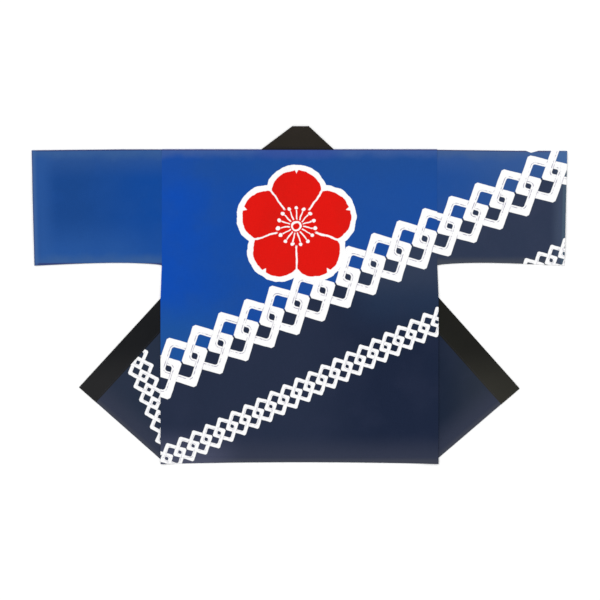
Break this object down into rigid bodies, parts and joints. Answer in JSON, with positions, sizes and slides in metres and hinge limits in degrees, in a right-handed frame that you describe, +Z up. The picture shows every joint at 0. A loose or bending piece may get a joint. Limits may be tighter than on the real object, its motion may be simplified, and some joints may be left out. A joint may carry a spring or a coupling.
{
  "type": "happi coat laid flat",
  "caption": "Festival happi coat laid flat with its back up, wide tube sleeves, a dark band collar and both front edges folded outwards.",
  "frame": {"origin": "middle of the coat's footprint, on the surface it lies on", "axes": "+X across the coat towards the sleeve on the right of the view, +Y from the hem towards the collar, +Z up out of the surface"},
  "size_m": [1.2844, 0.811, 0.0048],
  "materials": {
    "cloth_blue": "matt plain-weave cotton, blue over dark navy with white chain pattern",
    "cloth_black": "matt black cotton"
  },
  "bodies": {
    "root": {"body": "cloth_blue", "collar": "cloth_black", "sleeve_left": "cloth_blue", "sleeve_right": "cloth_blue"}
  },
  "joints": []
}
